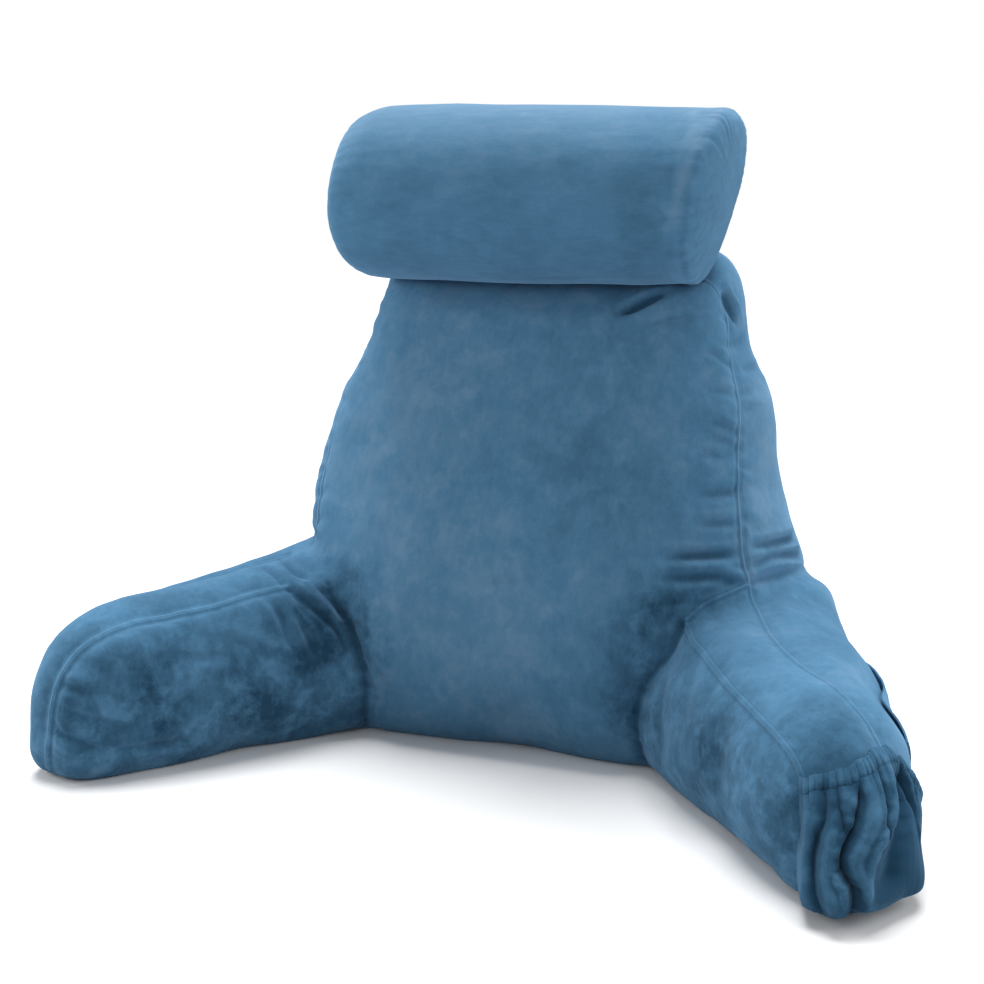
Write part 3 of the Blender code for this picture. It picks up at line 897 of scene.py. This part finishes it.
roll = {
    "centre": (0.001, -0.004, 0.631),
    "end": 0.208,
    "voxel": 0.006,
    "relaxing": 5,
    "lumps": 0.0016,
    "frames": 12,
    "pressure": 2.5,
    "slack": 0.0,
    "bending": 2.0,
    "cap": 0.003,
    "evenOut": 2,
    # the left end's dome: where it starts, how deep, how much it narrows, how far it is drawn in
    "dome": {"start": 0.224, "depth": 0.050, "narrow": (0.40, 0.22), "drawn": (0.017, 0.003)},
    # the right end's slant: where it starts, over what length, how far its top leans out and its foot in
    "slant": {"start": 0.09, "over": 0.12, "out": 0.009, "in": 0.030},
    # how flat the top is pressed, and how much more towards the right
    "pressed": (0.925, 0.095),
    # gathers round each end, and how high they stand on the left one and on the right one
    "gathers": 40,
    "gathered": (0.0003, 0.0006),
    # painted highlight on top, painted shade below and on the right end
    "napAndLight": (0.30, -0.12, -0.14),
    # where the crumpled band at the right end starts and stops, and how uneven its nap is
    "band": (0.176, 0.214, 0.20),
    "mottled": 0.22,
}


def rollShape(spot):
    # the left end is a soft dome, the right end slants in towards its foot, and the top is a little flat
    x, y, z = spot - Vector(roll["centre"])
    dome, slant = roll["dome"], roll["slant"]
    fromEnd = x + dome["start"]
    if fromEnd < dome["depth"]:
        share = max(0.0, 1.0 - max(0.0, fromEnd) / dome["depth"])
        upper = math.tanh(z / 0.05)
        narrow = math.sqrt(1.0 - (dome["narrow"][0] + dome["narrow"][1] * upper) * share * share)
        y, z = y * narrow, z * narrow
        x -= (dome["drawn"][0] - dome["drawn"][1] * math.tanh(z / 0.05)) * share
    share = eased(unit((x - slant["start"]) / slant["over"]))
    x += share * (slant["out"] - slant["in"] * unit((0.085 - z) / 0.18))
    if z > 0:
        z *= roll["pressed"][0] - roll["pressed"][1] * unit((x + 0.10) / 0.25)
    return Vector(roll["centre"]) + Vector((x, y, z))


def bandNap(spot):
    # the uneven nap of the band at the right end, and the darker strip beside it
    start, stop, rough = roll["band"]
    ragged = spot.x + 0.012 * noise.noise(Vector((spot.z / 0.016, spot.y / 0.03, 2.0)))
    within = unit((ragged - start) / 0.005) * unit((stop - spot.x) / 0.010)
    uneven = 0.35 + noise.noise(Vector((spot.x / 0.010, spot.y / 0.03, spot.z / 0.045)))
    return rough * within * uneven - 0.08 * hill(spot.x - start + 0.030, 0.028)


def rollGathers(spot):
    # how far the gathers of an end stand up at a point, and the painted shade in their valleys
    centre = Vector(roll["centre"])
    side = 1 if spot.x > centre.x else -1
    out = abs(spot.x - centre.x) - roll["end"]
    if out <= -0.020:
        return 0.0, 0.0
    height, depth = spot.z - centre.z, spot.y - centre.y
    turn = math.atan2(height, depth)
    place = Vector((math.cos(turn), math.sin(turn), side))
    wave = math.sin(turn * roll["gathers"] + 2.5 * noise.noise(place * 2.0))
    strength = max(0.0, 0.4 + 0.9 * noise.noise(place * 3.0 + Vector((9.0, 0.0, 0.0))))
    fromRim = max(0.0, 0.085 - math.hypot(height, depth))
    fade = hill(fromRim, 0.045) * min(1.0, (out + 0.020) / 0.012)
    return roll["gathered"][side > 0] * wave * strength * fade, 0.25 * max(0.0, -wave) * strength * fade


def makeRoll():
    obj = joinedNodes("neckRoll", ("neck_roll",))
    mesh = evened(obj, roll["voxel"], roll["relaxing"])
    swellCloth(obj, [0.0] * len(mesh.vertices), roll)
    mesh = finer(obj)
    points, normals = pointsOf(mesh), normalsOf(mesh)
    crease, uneven = np.zeros(len(points)), np.zeros(len(points))
    for index, point in enumerate(points):
        spot = Vector(point)
        uneven[index] = bandNap(spot)
        shift = roll["lumps"] * noise.noise(spot / 0.10 + Vector((3.0, 1.0, 5.0)))
        shift += 0.0004 * noise.noise(Vector((spot.x / 0.05, spot.y / 0.012, spot.z / 0.012)))
        raised, crease[index] = rollGathers(spot)
        points[index] = rollShape(spot + Vector(normals[index]) * (shift + raised))
    placePoints(mesh, points)
    # painted highlight on the top, painted shade underneath and on the right end
    onTop, below, ending = roll["napAndLight"]
    napAndLight = onTop * np.clip(normals[:, 2], 0.0, 1.0) ** 1.6 + below * np.clip(-normals[:, 2], 0.0, 1.0)
    napAndLight += ending * np.clip(normals[:, 0], 0.0, 1.0) ** 2
    tell(mesh, napLie=napAndLight + uneven, creased=crease, mottled=np.full(len(points), roll["mottled"]))
    finish(mesh, plushMaterial("rollPlush", 0.0, (0.4, 1.0, 1.0), sheen=1.3))
    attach(obj, "root")
    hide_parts("neck_roll")
    print("made the neck roll", len(mesh.polygons), "faces")
    return obj


# Pockets on the right arm. Places round the bag and shares are in thousandths in what metres() takes.

bag = {
    "heart": (0.245, 0.062),
    "turn": (-36.0, 59.0),
    "columns": 260,
    "rows": 110,
    "mottled": 0.4,
    "cloth": 0.0022,
    "clear": 0.0022,
    # the casing of the mouth: height, how far it stands out, how much paler
    "casing": 0.010,
    "casingRise": 0.0017,
    "casingLie": 0.10,
    # the line sewn under it: depth, width, how dark its painted shade is
    "stitches": (0.0008, 0.0012, 0.3),
    # degrees to both sides over which the cloth bridges a dent of the arm
    "bridged": (-8, -5, -2, 2, 5, 8),
    # how much of a fold there is at a distance below the mouth
    "setIn": ((0.0, 0.25), (0.008, 0.45), (0.022, 1.0)),
    # gathers round the mouth: how high they stand and how far down they reach, at its left and right
    "gathers": 34,
    "gathered": (0.0026, 0.0014),
    "gathersReach": (0.016, 0.007),
    "fullness": metres(((0, 0), (40, 550), (120, 950), (250, 1020), (500, 760), (750, 370), (920, 140),
                        (1000, 0))),
    # place, height, half width, half height, how far it stands out
    "bulges": metres((
        (150, 22, 140, 30, 16.5),
        (50, 16, 60, 22, 5),
        (550, 15, 120, 22, 10),
        (520, 85, 100, 30, -6),
        (660, 80, 120, 45, -7),
    )),
    # the same, and how much paler it is painted there: painted shade in the bag's hollow, painted light along
    # its foot and on its right side
    "brushed": metres((
        (460, 60, 100, 45, -420),
        (600, 50, 100, 50, -250),
        (450, 10, 200, 14, 200),
        (800, 50, 80, 60, 200),
        (960, 40, 140, 80, 340),
    )),
    # its sewn left edge wanders: height, degrees
    "leftEdge": ((0.004, 4.0), (0.012, 2.0), (0.028, 1.5), (0.048, 1.2), (0.075, 2.4), (0.095, 1.5),
                 (0.117, 0.0)),
    "mouth": metres(((0, 115.5), (100, 125), (200, 131), (300, 138), (400, 142), (500, 140), (600, 128),
                     (700, 112), (800, 92), (900, 76), (1000, 66))),
    "foot": metres(((0, 6), (140, 4), (240, 10), (320, 7), (550, 6), (1000, 5))),
    "belly": metres(((0, 4), (30, 22), (100, 34), (240, 36), (450, 35), (650, 31), (830, 26), (920, 22),
                     (1000, 20))),
    # how high or deep, half width, then the places at each height
    "folds": metres((
        (-4.5, 12, ((72, 10), (81, 15), (96, 25), (105, 20))),
        (3, 20, ((23, 45), (63, 45), (81, 50), (98, 45), (113, 60))),
        (-10, 22, ((18, 110), (34, 90), (49, 85), (62, 80), (78, 90), (94, 120), (103, 125), (118, 120))),
        (3.5, 16, ((32, 135), (44, 115), (58, 115), (74, 125), (88, 135), (100, 140), (118, 150))),
        (-6.5, 12, ((92, 177), (98, 175), (105, 167), (115, 165))),
        (5, 14, ((42, 175), (48, 155), (57, 145), (70, 150), (82, 175), (93, 205), (106, 225), (122, 240))),
        (-15, 24, ((20, 214), (32, 212), (43, 205), (50, 187), (56, 168), (65, 167), (74, 180), (85, 207),
            (97, 230), (111, 252))),
        (4.5, 26, ((42, 240), (55, 220), (66, 205), (77, 225), (90, 262), (102, 285), (120, 288))),
        (-6.5, 11, ((92, 340), (104, 354), (114, 360), (128, 362))),
        (4.5, 14, ((45, 250), (59, 260), (73, 282), (82, 315), (93, 355), (105, 390), (113, 410),
            (128, 430))),
        (-18, 70, ((44, 350), (56, 365), (71, 395), (82, 440), (93, 490), (109, 510))),
        (-5, 14, ((96, 577), (109, 572), (124, 570))),
        (3.5, 14, ((70, 580), (91, 600), (105, 618), (121, 605), (134, 550))),
        (-4, 18, ((66, 700), (85, 690), (105, 680))),
        (-3.5, 18, ((56, 810), (85, 800))),
    )),
}
flatPocket = {
    "span": (0.078, 0.264),
    "columns": 110,
    "rows": 96,
    "mottled": 0.4,
    "cloth": 0.0020,
    "clear": 0.0014,
    "foot": 0.014,
    # the hem's sewn line: how far below the mouth, width, depth, how dark its painted shade is
    "hem": (0.012, 0.0012, 0.0009, 0.5),
    "mouth": metres(((0, 134), (350, 138), (660, 134), (1000, 110))),
    "belly": metres(((0, 0), (300, 1), (600, 2), (850, 2), (950, 2.5), (1000, 3.5))),
}


def along(table, at):
    # a smooth value between the rows of a table
    if at <= table[0][0]:
        return table[0][1]
    for (low, first), (high, second) in zip(table, table[1:]):
        if at <= high:
            return first + (second - first) * eased((at - low) / (high - low))
    return table[-1][1]


def clothSheet(name, spec, place, surface, material):
    # a grid laid out on a surface, then given its thickness
    shape = bmesh.new()
    bmesh.ops.create_grid(shape, x_segments=spec["columns"], y_segments=spec["rows"], size=0.5)
    creased, napAndLight = [], []
    for vert in shape.verts:
        vert.co, dark, pointNapAndLight = place(surface, vert.co.x + 0.5, vert.co.y + 0.5)
        creased.append(dark)
        napAndLight.append(pointNapAndLight)
    mesh = meshFrom(name, shape)
    tell(mesh, creased=creased, napLie=napAndLight, mottled=np.full(len(napAndLight), spec["mottled"]))
    obj = addObject(name, mesh)
    solid = obj.modifiers.new("cloth", "SOLIDIFY")
    solid.thickness = spec["cloth"]
    solid.offset = 1.0
    rounded = obj.modifiers.new("hem", "BEVEL")
    rounded.width = spec["cloth"] * 0.35
    rounded.segments = 2
    rounded.limit_method = "ANGLE"
    finish(settled(obj), material)
    return obj


def bagFold(at, height):
    # how far the folds together stand up or sink at a place on the bag
    total = 0.0
    for depth, width, trail in bag["folds"]:
        low, high = trail[0][0], trail[-1][0]
        fade = 1.0
        if height < low:
            fade = hill(height - low, 0.012)
        if height > high:
            fade = hill(height - high, 0.012)
        total += depth * fade * hill(at - along(trail, height), width)
    return total


def bagPatch(row, at, height):
    # what a row of bulges or of brushed nap does at a place on the bag
    middle, level, wide, tall, much = row
    return much * math.exp(-(((at - middle) / wide) ** 2) - ((height - level) / tall) ** 2)


def bagTouch(surface, at, height):
    # where the bag lies on the arm, and the way out from there
    foot, ahead, over = armAxes(1)
    heart = foot + ahead * bag["heart"][0] + over * bag["heart"][1] + Vector((0.0, 0.0, height))
    wander = along(bag["leftEdge"], height) * max(0.0, 1.0 - at / 0.25) ** 2
    turn = math.radians(bag["turn"][0] + (bag["turn"][1] - bag["turn"][0]) * at + wander)
    out = ahead * math.cos(turn) + over * math.sin(turn)
    touched = surface.ray_cast(heart + out * 0.4, -out)[0]
    beyond = []
    for step in bag["bridged"]:
        angle = turn + math.radians(step)
        beside = ahead * math.cos(angle) + over * math.sin(angle)
        beyond.append((surface.ray_cast(heart + beside * 0.4, -beside)[0] - heart).length)
    return touched + out * max(0.0, sum(beyond) / len(beyond) - (touched - heart).length), out


def bagPoint(surface, at, up):
    # a point of the bag, with the painted shade in its folds, sewn line and gathers, and the lie of its nap
    # with a painted highlight on fold crests and painted shade in their valleys
    low, high = along(bag["foot"], at), along(bag["mouth"], at)
    height = low + (high - low) * up
    below = high - height
    touched, out = bagTouch(surface, at, height)
    inCasing = below < bag["casing"]
    fold = bagFold(at, min(height, high - bag["casing"])) * along(bag["setIn"], below)
    if not inCasing:
        fold *= min(1.0, up / 0.10)
    edge = min(1.0, at / 0.04, (1.0 - at) / 0.04)
    off = along(bag["fullness"], at) * along(bag["belly"], up) + edge * fold
    off += sum(edge * bagPatch(row, at, height) for row in bag["bulges"])
    shirr = math.sin(2 * math.pi * (at * bag["gathers"] + 0.8 * noise.noise(Vector((at * 9, 0.0, 2.0)))))
    shirr *= 0.6 + 0.4 * noise.noise(Vector((at * 14, 5.0, 0.0)))
    (leftRise, rightRise), (leftReach, rightReach) = bag["gathered"], bag["gathersReach"]
    rise = leftRise + (rightRise - leftRise) * min(1.0, at * 2.0)
    reach = leftReach + (rightReach - leftReach) * min(1.0, at * 1.6)
    off += rise * edge * shirr * hill(below - 0.004, reach)
    if inCasing:
        off += bag["casingRise"] * math.sin(math.pi * below / bag["casing"])
    depth, width, stitchShade = bag["stitches"]
    off -= depth * edge * hill(below - bag["casing"] - 0.0006, width)
    off = bag["clear"] * min(1.0, edge + 0.3) + max(0.0, off)
    # painted shade in the fold valleys, along the sewn line under the casing and between the gathers in the
    # casing
    dark = max(0.9 * unit(-fold / 0.008), stitchShade * hill(below - bag["casing"], width),
               0.45 * max(0.0, -shirr) * inCasing)
    # painted shade in the hollow and painted light at the foot and right side, then a painted highlight on
    # fold crests with painted shade in their valleys, and the paler casing
    napAndLight = sum(bagPatch(row, at, height) for row in bag["brushed"])
    napAndLight += 0.22 * math.tanh(fold / 0.005) + bag["casingLie"] * inCasing
    return touched + out * off, dark, napAndLight


def makeBag(surface):
    # the gathered pocket's whole nap is darker: painted shade
    material = plushMaterial("gatheredPocketShadedPlush", -0.33, sheen=0.6)
    obj = clothSheet("gatheredPocket", bag, bagPoint, surface, material)
    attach(obj, "root")
    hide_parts("front_pocket")
    print("made the gathered pocket", len(obj.data.polygons), "faces")


def flatPoint(surface, at, up):
    # a point of the flat pocket, with the painted shade of its hem's sewn line, and the lie of its nap
    foot, ahead, over = armAxes(1)
    near, far = flatPocket["span"]
    distance = far + (near - far) * at
    low, high = flatPocket["foot"], along(flatPocket["mouth"], 1.0 - at)
    height = low + (high - low) * up
    start = foot + ahead * distance + over * 0.5 + Vector((0.0, 0.0, height))
    touched = surface.ray_cast(start, -over)[0]
    full = min(1.0, 6.0 * min(at, 1.0 - at))
    off = (1.1 - 0.5 * at) * full * along(flatPocket["belly"], up)
    off += 0.0008 * full * noise.noise(Vector((at * 5.0, up * 3.0, 1.0)))
    under, width, depth, darkness = flatPocket["hem"]
    sewn = hill(high - height - under, width)
    off -= depth * full * sewn
    # the three sewn edges lie closer to the arm
    clear = 0.0006 + (flatPocket["clear"] - 0.0006) * min(full, up * 8.0, 1.0)
    return touched + over * (clear + max(0.0, off)), darkness * sewn, 0.0


def makeFlatPocket(surface):
    obj = clothSheet("flatPocket", flatPocket, flatPoint, surface, plushMaterial("flatPocketPlush", 0.0))
    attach(obj, "root")
    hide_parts("side_pocket")
    print("made the flat pocket", len(obj.data.polygons), "faces")


# Studio


def aimed(obj, target):
    obj.rotation_euler = (Vector(target) - obj.location).to_track_quat("-Z", "Y").to_euler()
    bpy.context.scene.collection.objects.link(obj)


def addLight(name, kind, place, target, power, **settings):
    light = bpy.data.lights.new(name, kind)
    light.energy = power
    for key, value in settings.items():
        setattr(light, key, value)
    obj = bpy.data.objects.new(name, light)
    obj.location = place
    aimed(obj, target)


def makeStudio():
    shape = bmesh.new()
    bmesh.ops.create_grid(shape, x_segments=1, y_segments=1, size=studio["floorSize"])
    floor = addObject("paleFloor", meshFrom("paleFloor", shape))
    # the floor is brighter to the camera than what it throws back on the pillow
    shader = Shader("paleFloor")
    seen = shader.add("ShaderNodeLightPath", "Is Camera Ray", {}, {})
    colour = shader.mix(seen, studio["floorBounce"], studio["floor"])
    shader.set(Base_Color=colour, Roughness=1.0, Specular_IOR_Level=0.0)
    floor.data.materials.append(shader.material)
    floor.location.z = -studio["floorDrop"]
    world = bpy.data.worlds.new("studio")
    world.use_nodes = True
    tree = world.node_tree
    sky = tree.nodes["Background"]
    sky.inputs["Color"].default_value = (1.0, 1.0, 1.0, 1.0)
    seen = Socket(tree, tree.nodes.new("ShaderNodeLightPath").outputs["Is Camera Ray"])
    strength = seen * (studio["skySeen"] - studio["skyLight"]) + studio["skyLight"]
    tree.links.new(strength.output, sky.inputs["Strength"])
    bpy.context.scene.world = world
    sun = studio["sun"]
    addLight("softSun", "SUN", Vector(sun["from"]) * 3.0, (0.0, 0.0, 0.0), sun["strength"],
             angle=math.radians(sun["softness"]))
    for name, place, size, power in studio["lamps"]:
        addLight(name, "AREA", place, studio["lampsAim"], power, shape="DISK", size=size)


def makeCamera():
    lens = bpy.data.cameras.new("photoCamera")
    lens.sensor_width = 36.0
    lens.lens = camera["lens"]
    viewer = bpy.data.objects.new("photoCamera", lens)
    viewer.location = camera["spot"]
    aimed(viewer, camera["target"])
    bpy.context.scene.camera = viewer


makeCamera()
makeStudio()
bpy.context.scene.view_settings.view_transform = "Standard"
rollPiece = makeRoll()
coverPiece = makeCover(surfaceOf(rollPiece.data))
coverSurface = surfaceOf(coverPiece.data)
makeBag(coverSurface)
makeFlatPocket(coverSurface)
